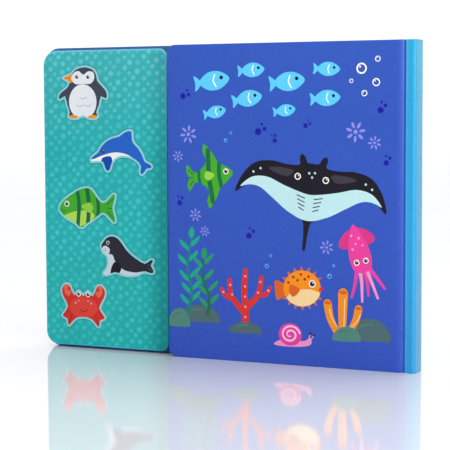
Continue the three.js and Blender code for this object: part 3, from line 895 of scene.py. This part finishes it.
# ---- back cover ------------------------------------------------------------------------
rear_holes = [round_rect(-(DOOR[1] + 0.3), DOOR[2] - 0.3, -(DOOR[0] - 0.3), DOOR[3] + 0.3, [1.5] * 4, 5),
              round_rect(-(SWITCH[0] + 4.2), SWITCH[1] - 2.8, -(SWITCH[0] - 5), SWITCH[1] + 2.8, [1.0] * 4, 5)]
sound = [SPK] + [(SPK[0] + 4.6 * math.cos(i * math.pi / 3), SPK[1] + 4.6 * math.sin(i * math.pi / 3)) for i in range(6)]
sound += [(SPK[0] + 9.2 * math.cos((i + 0.5) * math.pi / 6), SPK[1] + 9.2 * math.sin((i + 0.5) * math.pi / 6)) for i in range(12)]
rear_holes += [ell(-x, z, 1.2, n=16) for x, z in sound]


def rear_picture():
    """Plain sea blue with swells along the foot and scattered bubbles; outlines mirrored in X for the rear."""
    art = []
    for i, (z, a, c) in enumerate(((52, 4.5, lin(50, 78, 184)), (40, 4.0, lin(44, 70, 172)), (27, 5.0, lin(38, 60, 158)))):
        pts = [(-150, -8)] + [(-150 + 300 * k / 40, z + a * math.sin(k * 0.62 + i * 2.1)) for k in range(41)] + [(150, -8)]
        art.append((ccw(pts), c))
    rng = np.random.default_rng(3)
    spots = [(-112, 176, 9), (-84, 196, 4.5), (-96, 150, 5.5), (-60, 168, 3.2), (-20, 192, 6.5), (4, 170, 3.4), (-38, 130, 4.2), (28, 150, 7.5),
             (-118, 108, 5), (-76, 96, 3.2), (-8, 104, 4.8), (22, 84, 3.0), (36, 196, 3.6), (112, 150, 6.0), (124, 180, 3.4), (116, 92, 4.0)]
    for x, z, r in spots:
        art += [(ell(x, z, r, n=28), LILAC), (ell(x, z, r * 0.82, n=26), lin(62, 94, 202)), (ell(x - r * 0.3, z + r * 0.34, r * 0.16, n=10), PALE)]
    art += placed(small_fish(LIGHT, LIGHT), -30, 66, 1.5, 4, False, len(art))
    art += placed(small_fish(LIGHT, LIGHT), 4, 58, 1.1, 4, False, len(art))
    art += placed(small_fish(LIGHT, LIGHT), -70, 74, 1.2, 4, False, len(art))
    return art


back_board = board("back_cover_board", round_rect(-130.65, 0, 141.0, H, [0.05, 9, 10.5, 0.05], 12), rear_holes, YB, YB - BOARD, 0.55, 0.45,
                   rear_picture(), BLUE, side=None, hole_side=lin(40, 50, 90), back=INNER, place=rear, seg=4, material=cover_print)
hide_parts("back_cover")
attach(back_board, "case")

# ---- spine and grooves -------------------------------------------------------------------
# section of the front groove from the blue board to the spine, in plan
groove = [(x, YF + d) for x, d in (
    (130.1, shoulder(130.1)), (130.35, 0.36), (130.6, 0.43), (130.9, 0.54), (131.2, 0.68), (131.5, 0.85), (131.8, 1.06), (132.1, 1.29), (132.4, 1.52),
    (132.7, 1.7), (133.0, 1.8), (133.3, 1.82), (133.6, 1.76), (133.85, 1.62), (134.1, 1.44), (134.35, 1.28), (134.6, 1.16), (135.0, 1.04), (135.6, 0.92),
    (136.4, 0.77), (137.2, 0.59), (137.8, 0.42), (138.3, 0.27), (138.8, 0.13), (139.4, 0.03))]
THICK = 0.4


# painted shade along the groove's crease, and a painted highlight on the ridge after it
CREASE_SHADE = ink(42, 80, 172)
RIDGE_HIGHLIGHT = ink(84, 184, 244)


def wrap_colour(x):
    """Print of the wrap across the joint: cover blue, painted shade in the crease, a painted highlight on the ridge
    beyond it, then the spine's light blue, painted lighter near the spine's corner as a painted highlight.
    """
    if x < 132.4:
        return BLUE
    if x < 133.6:
        return CREASE_SHADE
    if x < 135.1:
        return RIDGE_HIGHLIGHT
    return SPINE if x < 138.6 else SPINE_CORNER_HIGHLIGHT


def strip(name, line, colour, z0=0.0, z1=H, rows=44):
    """A sheet of THICK paper following a line in plan, from z0 to z1."""
    P = np.array(line, float)
    T = np.gradient(P, axis=0)
    T /= np.linalg.norm(T, axis=1)[:, None]
    N = np.stack([-T[:, 1], T[:, 0]], 1)           # into the book
    Q = P + N * THICK
    sec = [tuple(p) for p in P] + [tuple(q) for q in Q[::-1]]
    n = len(sec)
    verts, faces, cols, smooth, sharp = [], [], [], [], set()
    ends = [(z0 + b, a) for a, b in [(0.3 * (1 - math.sin(t)), 0.3 * (1 - math.cos(t))) for t in np.linspace(0, math.pi / 2, 4)]]
    mid = [(z0 + 0.3 + (z1 - z0 - 0.6) * k / rows, 0.0) for k in range(1, rows)]
    levels = ends + mid + [(z1 + z0 - z, a) for z, a in ends[::-1]]
    rows = len(levels) - 1
    for z, a in levels:
        for x, y in [tuple(p) for p in P + N * a] + [tuple(q) for q in Q[::-1]]:
            verts.append((x, y, z))
    m = len(P)
    for k in range(rows):
        for i in range(n):
            j = (i + 1) % n
            a, b, c, d = k * n + i, k * n + j, (k + 1) * n + j, (k + 1) * n + i
            faces.append((a, b, c, d))
            xm = (sec[i][0] + sec[j][0]) / 2
            cols.append(colour(xm))
            smooth.append(i != m - 1 and i != n - 1)
            if i in (m - 1, n - 1):
                sharp |= {frozenset((a, d)), frozenset((b, c))}
    for base, flip in ((0, True), (rows * n, False)):
        for i in range(m - 1):
            q = (base + i, base + i + 1, base + n - 2 - i, base + n - 1 - i)
            faces.append(q[::-1] if flip else q)
            cols.append(colour((sec[i][0] + sec[i + 1][0]) / 2))
            smooth.append(False)
            sharp |= {frozenset((base + i, base + i + 1)), frozenset((base + n - 2 - i, base + n - 1 - i))}
    return make(name, verts, faces, cols, smooth, sharp, cover_print)


front_groove = strip("front_groove_paper", groove, wrap_colour)
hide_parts("front_hinge_paper")
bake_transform(front_groove)

# spine board with its wrap, going on round into the rear groove
r = 0.8
outside = [(139.4, -7.22), (139.8, -7.25)]
outside += [(141 - r + r * math.cos(t), -7.25 + r + r * math.sin(t)) for t in np.linspace(-math.pi / 2, 0, 7)]
outside += [(141.0, -3.0), (141.0, 0.0), (141.0, 3.0)]
outside += [(141 - r + r * math.cos(t), 7.25 - r + r * math.sin(t)) for t in np.linspace(0, math.pi / 2, 7)]
outside += [(139.8, 7.25)] + [(x, -y) for x, y in groove[::-1]]
tail = [(x, -y) for x, y in groove]
inner_line = [(x, y - THICK) for x, y in tail[:-2]]
section = outside + inner_line + [(139.0, 6.3), (139.0, -6.8)]


def prism(name, sec, z0, z1, rnd, material, color_of):
    sec = ccw([tuple(map(float, p)) for p in sec])
    n = len(sec)
    prof = [(rnd * (1 - math.sin(t)), z1 - rnd * (1 - math.cos(t))) for t in np.linspace(0, math.pi / 2, 4)]
    prof += [(0.0, z) for z in np.linspace(z1 - rnd, z0 + rnd, 12)[1:-1]]
    prof += [(rnd * (1 - math.cos(t)), z0 + rnd * (1 - math.sin(t))) for t in np.linspace(0, math.pi / 2, 4)]
    verts, faces, cols, smooth, sharp = [], [], [], [], set()
    for d, z in prof:
        for x, y in inset(sec, d):
            verts.append((x, y, z))
    for k in range(len(prof) - 1):
        for i in range(n):
            j = (i + 1) % n
            faces.append(((k + 1) * n + i, (k + 1) * n + j, k * n + j, k * n + i))
            cols.append(color_of((sec[i][0] + sec[j][0]) / 2, (sec[i][1] + sec[j][1]) / 2))
            smooth.append(True)
            if k == 0:
                sharp.add(frozenset((i, j)))
            if k == len(prof) - 2:
                sharp.add(frozenset(((k + 1) * n + i, (k + 1) * n + j)))
    # sharp upright edges where the section turns a corner
    for i in range(n):
        a, b, c = np.array(sec[i - 1]), np.array(sec[i]), np.array(sec[(i + 1) % n])
        u, v = b - a, c - b
        if float(u @ v) / (np.linalg.norm(u) * np.linalg.norm(v) + 1e-12) < math.cos(math.radians(40)):
            for k in range(len(prof) - 1):
                sharp.add(frozenset((k * n + i, (k + 1) * n + i)))
    for base, up in ((0, True), ((len(prof) - 1) * n, False)):
        pts = [Vector(q) for q in sec]
        v, e, f, ov, oe, of = delaunay_2d_cdt(pts, [], [list(range(n))], 1, 1e-6, True)
        for tri in f:
            ids = [base + ov[i][0] for i in tri]
            if area([tuple(v[i]) for i in tri]) < 0:
                ids = ids[::-1]
            faces.append(tuple(ids if up else ids[::-1]))
            cx = sum(verts[i][0] for i in ids) / 3
            cy = sum(verts[i][1] for i in ids) / 3
            cols.append(color_of(cx, cy))
            smooth.append(False)
    return make(name, verts, faces, cols, smooth, sharp, material)


# the spine's side face takes the darker copy of the spine blue, which is painted shade, and the strip by its corner
# takes the lighter copy, a painted highlight
spine_wrap = prism("spine_board", section, 0.0, H, 0.14, cover_print, lambda x, y: wrap_colour(x) if y > 5 else (SPINE_CORNER_HIGHLIGHT if x < 140.6 else SPINE_SIDE_SHADE))
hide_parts("spine", "back_hinge_paper")
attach(spine_wrap, "case")

# ---- sound panel ---------------------------------------------------------------------------
TEALP = ink(46, 170, 168)
DOTS = [ink(62, 188, 186), ink(58, 184, 182), ink(65, 191, 190)]
SOFT_EDGE = [(0.72, [tuple(b + 0.28 * (a - b) for a, b in zip(c, TEALP)) for c in DOTS]),
             (0.28, [tuple(b + 0.66 * (a - b) for a, b in zip(c, TEALP)) for c in DOTS]),
             (-0.2, DOTS)]
# one repeat of the dotted paper: offset and radius of its seven dots, on a staggered lattice
TILE = ((0, 0, 1.72), (9.2, -1.3, 1.6), (0.5, 6.1, 1.4), (8.7, 6.3, 1.1), (5.4, -5.0, 1.5), (5.2, 2.3, 1.25), (12.0, 3.3, 1.4))


def dotted(x0, z0, x1, z1):
    out = []
    for i in range(-2, 10):
        for j in range(-12, 20):
            ox, oz = x0 - 15.1 + 15.1 * i, z0 + 15.1 * j + 7.55 * i - 0.75
            for k, (dx, dz, r) in enumerate(TILE):
                x, z = ox + dx, oz + dz
                if x0 - r < x < x1 + r and z0 - r < z < z1 + r:
                    c = (i * 3 + j * 5 + k) % 3
                    out += [(ell(x, z, r + d, n=14), tones[c]) for d, tones in SOFT_EDGE]
    return out


loops = loops_of("sound_panel")
panel_outer = round_rect(-140, 1.8, -40.8, 213, [9.5, 6, 6, 10.5], 12)
openings = [inset(q, 0.52) for q in loops[1:]]
bands = [(inset(panel_outer, d), TEALP) for d in (1.1, 1.3, 1.6, 2.0, 2.5, 3.1)]
# painted highlight: the board's own colour, seen in the narrow band round the edge, and the rounded edge are lighter
# than the teal print; the walls of the button openings are painted dark teal as painted shade in the gaps round the
# caps
panel = board("sound_panel_face", panel_outer, openings, -0.75, 0.75, 0.6, 0.15, bands + dotted(-139, 2, -41.5, 213), ink(64, 184, 208), side=ink(70, 192, 228),
              hole_side=ink(24, 96, 100), back=CHIP, place=front, seg=4, material=panel_print, hole_r=0.25, rim=1, soft=True)
rim_distance = to_edge(panel_outer)
press(panel, -0.02, lambda x, z: 0.5 * max(0.0, 1 - rim_distance(x, z) / 3.1) ** 2)
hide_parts("sound_panel")
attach(panel, "case")


# ---- buttons -----------------------------------------------------------------------------------
def button(name, colour, art, rim=1.6):
    cx, cz = BUTTON_AT[name]
    outline = loops_of("button_" + name)[0]
    inner = inset(outline, rim)
    full = [(inner, colour)] + [(move(q[0], cx, cz), q[1], 0) for q in art]
    ob = board(name + "_button_cap", outline, (), -1.35, 0.75, 0.26, 0.1, full, RIM, side=ink(112, 176, 180), back=CHIP,
               place=front, seg=3, material=button_print)
    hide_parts("button_" + name)
    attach(ob, name + "_button")
    return ob


SLATE = ink(74, 76, 92)
GREYW = ink(232, 236, 240)
button("penguin", SLATE, [
    (curve([(-18.5, 12.0), (-9.4, 14.6), (-9.2, 7.4), (-15.4, 8.2)], 5), ORANGE),
    (ell(-0.2, -6.2, 11.2, 12.4, n=40), GREYW),
    (curve([(1.0, 6.4), (6.8, 6.8), (9.4, 10.4), (8.6, 14.4), (4.4, 15.2), (0.6, 13.0), (-3.6, 15.6), (-8.0, 13.6), (-9.2, 9.8), (-6.4, 6.6)], 5), GREYW),
    (curve([(-10.8, 12.4), (-16.6, 10.6), (-10.6, 8.6)], 5), ORANGE),
    (stroke([(-15.6, 10.5), (-10.6, 10.5)], 0.45, 1), DORANGE),
    (ell(-4.9, 11.4, 1.25, n=18), BLACK), (ell(4.2, 11.2, 1.25, n=18), BLACK),
    (ell(-4.5, 11.8, 0.4, n=10), WHITE), (ell(4.6, 11.6, 0.4, n=10), WHITE),
    (ell(-8.4, -17.2, 4.4, 1.7, n=22), ORANGE), (ell(8.2, -17.2, 4.4, 1.7, n=22), ORANGE),
    (stroke([(-2.6, -3.0), (0, -4.2), (2.6, -3.0)], 0.6, 4), ink(186, 192, 202)),
    (stroke([(-5.4, -8.4), (-2.8, -9.6), (-0.2, -8.4)], 0.6, 4), ink(186, 192, 202)),
    (stroke([(1.2, -8.4), (3.8, -9.6), (6.4, -8.4)], 0.6, 4), ink(186, 192, 202))])
button("dolphin", ink(50, 104, 200), [
    (curve([(-26.5, -5.6), (-19.6, -3.6), (-13.4, -1.6), (-6.0, 0.0), (2.0, -0.6), (8.6, -3.4), (13.0, -8.6), (10, -10), (0, -8), (-12, -12), (-26, -10)], 5), WHITE),
    (curve([(-15.6, -4.4), (-8.2, -3.0), (-7.4, -9.0), (-9.0, -14.6), (-13.0, -15.2), (-15.4, -10.6)], 5), ink(34, 78, 168)),
    (stroke([(-25.0, -5.0), (-20.6, -3.9), (-17.6, -2.4)], 0.5, 4), ink(22, 44, 110)),
    (ell(-14.4, 0.9, 1.2, n=18), BLACK), (ell(-14.0, 1.3, 0.4, n=10), WHITE),
    (stroke([(3.6, 13.6), (7.2, 8.6)], 0.5, 1), ink(34, 78, 168)),
    (stroke([(18.2, -9.4), (16.4, -13.6)], 0.5, 1), ink(34, 78, 168)), (stroke([(19.4, -8.4), (23.2, -9.6)], 0.5, 1), ink(34, 78, 168))])
button("fish", ink(74, 172, 52), [
    (ell(-9.0, -8.4, 15.0, 5.6, 12, n=32), ink(176, 220, 92)),
    (stroke([(-8.6, 14.2), (-6.8, 3.0), (-8.0, -13.6)], 3.0, 6), DGREEN),
    (stroke([(-0.6, 15.8), (1.2, 3.0), (0.0, -15.0)], 3.2, 6), DGREEN),
    (stroke([(8.0, 8.6), (9.0, 0.0), (8.0, -8.6)], 2.6, 6), DGREEN),
    (curve([(-4.8, 0.8), (2.2, 3.6), (4.8, 0.0), (2.2, -3.6)], 5), LGREEN),
    (stroke([(16.2, 2.4), (21.6, 7.4)], 0.6, 1), DGREEN), (stroke([(16.6, 0), (21.4, 0)], 0.6, 1), DGREEN), (stroke([(16.2, -2.4), (21.6, -7.4)], 0.6, 1), DGREEN),
    (ell(-16.8, 2.4, 2.1, n=20), WHITE), (ell(-16.8, 2.4, 1.4, n=18), BLACK), (ell(-16.4, 2.9, 0.42, n=10), WHITE),
    (stroke([(-22.0, -2.0), (-20.0, -3.0), (-18.4, -2.6)], 0.5, 4), DGREEN)])
button("seal", ink(52, 50, 60), [
    (curve([(-16.4, 0.6), (-12.0, 0.6), (-9.8, -4.0), (-4.0, -9.2), (6.0, -11.2), (14.0, -10.4), (9, -18), (-18, -18), (-20, -8)], 5), ink(206, 218, 226)),
    (curve([(-22.6, 3.6), (-18.0, 7.0), (-14.2, 4.6), (-15.4, 0.8), (-21.0, 0.6)], 5), ink(206, 218, 226)),
    (curve([(-10.6, -4.6), (-6.6, -5.4), (-5.0, -9.2), (-9.4, -14.2), (-13.6, -13.4)], 5), ink(40, 38, 48)),
    (ell(-21.0, 5.9, 1.25, 0.95, n=14), BLACK),
    (ell(-15.6, 9.2, 1.35, n=18), WHITE), (ell(-15.6, 9.2, 1.05, n=18), BLACK), (ell(-15.2, 9.6, 0.36, n=10), WHITE),
    (ell(-18.8, 3.6, 0.35, n=8), CHAR), (ell(-17.4, 3.1, 0.35, n=8), CHAR), (ell(-17.8, 4.6, 0.35, n=8), CHAR),
    (stroke([(16.6, -6.2), (20.0, -3.4)], 0.5, 1), ink(92, 90, 104)), (stroke([(16.8, -8.0), (20.4, -10.0)], 0.5, 1), ink(92, 90, 104))])
button("crab", ink(214, 58, 50), [
    (ell(0, -1.2, 11.6, 7.6, n=36), ink(226, 74, 62)),
    (curve([(12.4, 6.2), (15.6, 9.6), (14.8, 15.2), (11.0, 14.4), (13.6, 11.6), (10.2, 9.6)], 4), ink(238, 106, 84)),
    (curve([(-12.4, 6.2), (-15.6, 9.6), (-14.8, 15.2), (-11.0, 14.4), (-13.6, 11.6), (-10.2, 9.6)], 4), ink(238, 106, 84)),
    (stroke([(9.4, -6.2), (12.2, -13.4)], 0.5, 1), DRED), (stroke([(-9.4, -6.2), (-12.2, -13.4)], 0.5, 1), DRED),
    (stroke([(12.0, -3.6), (16.6, -7.6)], 0.5, 1), DRED), (stroke([(-12.0, -3.6), (-16.6, -7.6)], 0.5, 1), DRED),
    (ell(-3.9, 8.2, 1.9, n=20), WHITE), (ell(3.9, 8.2, 1.9, n=20), WHITE), (ell(-3.9, 8.2, 1.25, n=18), BLACK), (ell(3.9, 8.2, 1.25, n=18), BLACK),
    (ell(-3.5, 8.7, 0.4, n=10), WHITE), (ell(4.3, 8.7, 0.4, n=10), WHITE),
    (stroke([(-3.4, -2.8), (0, -4.4), (3.4, -2.8)], 0.6, 5), DRED),
    (ell(-6.4, 1.8, 0.8, n=12), LPINK), (ell(-3.8, 3.4, 0.6, n=12), LPINK), (ell(6.4, 1.8, 0.8, n=12), LPINK), (ell(3.8, 3.4, 0.6, n=12), LPINK)])

# ---- finishes of the carried-over pieces ----------------------------------------------------------
white_plastic = plastic("housing_plastic", lin(226, 227, 228))
housing = plastic("housing_plastic_blue", lin(104, 196, 238), rough=(0.5, 0.62), grain=500, depth=0.00005)
dark_plastic = plastic("door_plastic", lin(34, 44, 84), rough=(0.38, 0.52), grain=420, depth=0.00006, strength=0.8)
steel = metal("bright_steel", (0.62, 0.62, 0.64))
brass = metal("contact_brass", (0.72, 0.55, 0.25))
rubber = plastic("grey_rubber", lin(112, 114, 118), rough=(0.7, 0.85))
black = plastic("black_plastic", lin(22, 23, 26))
red_wire = plastic("red_insulation", lin(180, 30, 26), grain=1500)
cone = plastic("paper_cone", lin(60, 58, 56), rough=(0.75, 0.9), grain=1800, depth=0.00005)


def pcb_material():
    n = Nodes("circuit_board_green")
    vec = n.coord()
    mp = n.new("ShaderNodeMapping")
    mp.inputs["Rotation"].default_value = (math.radians(90), 0, 0)
    n.link(vec, mp.inputs["Vector"])
    br = n.new("ShaderNodeTexBrick")
    br.inputs["Scale"].default_value = 160
    br.inputs["Mortar Size"].default_value = 0.045
    n.link(mp.outputs[0], br.inputs["Vector"])
    br.inputs["Color1"].default_value = (*lin(24, 104, 58), 1)
    br.inputs["Color2"].default_value = (*lin(22, 96, 54), 1)
    br.inputs["Mortar"].default_value = (*lin(60, 150, 84), 1)
    fine = n.noise(900, 3, 0.6, vec)
    return n.finish(br.outputs["Color"], n.maps(fine, 0.3, 0.7, 0.3, 0.45), n.bump(br.outputs["Fac"], 0.3, 0.00003))


pcb = pcb_material()
FINISH = {"module_housing": housing, "circuit_board": pcb, "sound_chip": black, "speaker_basket": steel, "speaker_magnet": black,
          "speaker_cone": cone, "battery_door": dark_plastic, "door_screw": steel, "switch_body": steel, "switch_knob": black}
for name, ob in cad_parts.items():
    if name.startswith("button_backing"):
        m = white_plastic
    elif name.startswith("button_plunger"):
        m = rubber
    elif name.startswith(("contact_dome", "button_cell")):
        m = steel
    elif name.startswith(("battery_contact", "door_contact")):
        m = brass
    elif name.startswith("wire_"):
        m = red_wire if name.endswith(("plus", "_1")) else black
    else:
        m = FINISH.get(name)
    if m is None:
        continue
    soft = {"battery_door": 0.25, "switch_knob": 0.12, "door_screw": 0.1, "module_housing": 0.3, "switch_body": 0.15, "sound_chip": 0.2}.get(name)
    if soft:
        bev = ob.modifiers.new("soft_edges", "BEVEL")
        bev.width = soft * MM
        bev.segments = 2
        bev.limit_method = "ANGLE"
        bev.angle_limit = math.radians(40)
    if ob.data.materials:
        ob.data.materials[0] = m
    else:
        ob.data.materials.append(m)

# ---- camera: the photograph's own viewpoint ---------------------------------------------------------
cam_data = bpy.data.cameras.new("camera")
cam = bpy.data.objects.new("camera", cam_data)
bpy.context.scene.collection.objects.link(cam)
yaw, pitch, roll = math.radians(24.92), math.radians(4.43), math.radians(-0.25)
fwd = Vector((-math.sin(yaw) * math.cos(pitch), math.cos(yaw) * math.cos(pitch), -math.sin(pitch)))
right = Vector((math.cos(yaw), math.sin(yaw), 0))
up = right.cross(fwd)
cx = right * math.cos(roll) + up * math.sin(roll)
cy = -right * math.sin(roll) + up * math.cos(roll)
rot = Matrix((cx, cy, -fwd)).transposed()
cam.matrix_world = Matrix.Translation(Vector((437.8, -935.65, 172.0)) * MM) @ rot.to_4x4()
cam_data.sensor_fit = "HORIZONTAL"
cam_data.sensor_width = 36
cam_data.lens = 1514.0 / 450 * 36
cam_data.clip_start = 0.05
cam_data.clip_end = 30
bpy.context.scene.camera = cam

# ---- floor, light, background ------------------------------------------------------------------------
bpy.ops.mesh.primitive_plane_add(size=8, location=(0, 0, 0))
floor = bpy.context.active_object
floor.name = "floor"
n = Nodes("pale_floor")
fn = n.noise(3, 2, 0.5)
floor.data.materials.append(n.finish(n.mix(n.maps(fn, 0.3, 0.7, 0, 1), lin(239, 240, 242), lin(243, 243, 244)), 0.06, None, IOR=3.05))


def area_light(name, loc, target, size, power, color=(1, 1, 1)):
    d = bpy.data.lights.new(name, "AREA")
    d.shape = "RECTANGLE"
    d.size, d.size_y = size
    d.energy = power
    d.color = color
    o = bpy.data.objects.new(name, d)
    o.location = loc
    o.rotation_euler = (Vector(target) - Vector(loc)).to_track_quat("-Z", "Y").to_euler()
    bpy.context.scene.collection.objects.link(o)
    return o


area_light("key_light", (0.62, -1.05, 0.62), (0, 0, 0.1), (0.5, 1.2), 2.4)
area_light("right_light", (1.45, -0.62, 0.5), (0, 0, 0.1), (0.5, 0.9), 12)
area_light("upper_light", (0.1, -0.5, 0.8), (0, 0, 0.12), (0.8, 0.4), 1.6)
area_light("top_light", (0.0, 0.5, 1.3), (0, 0.3, 0), (2.2, 1.4), 4).visible_glossy = False

# white studio: full white behind the book, dimmer in front of it
world = bpy.data.worlds.new("studio")
bpy.context.scene.world = world
world.use_nodes = True
wt = world.node_tree
bg = wt.nodes["Background"]
bg.inputs["Color"].default_value = (0.975, 0.985, 1.0, 1)
wc = wt.nodes.new("ShaderNodeTexCoord")
ws = wt.nodes.new("ShaderNodeSeparateXYZ")
wm = wt.nodes.new("ShaderNodeMapRange")
wm.interpolation_type = "SMOOTHSTEP"
for k, v in (("From Min", -0.35), ("From Max", 0.25), ("To Min", 0.42), ("To Max", 1.1)):
    wm.inputs[k].default_value = v
wt.links.new(wc.outputs["Generated"], ws.inputs[0])
wt.links.new(ws.outputs["Y"], wm.inputs["Value"])
wt.links.new(wm.outputs["Result"], bg.inputs["Strength"])
bpy.context.scene.view_settings.view_transform = "Standard"
bpy.context.scene.view_settings.look = "None"
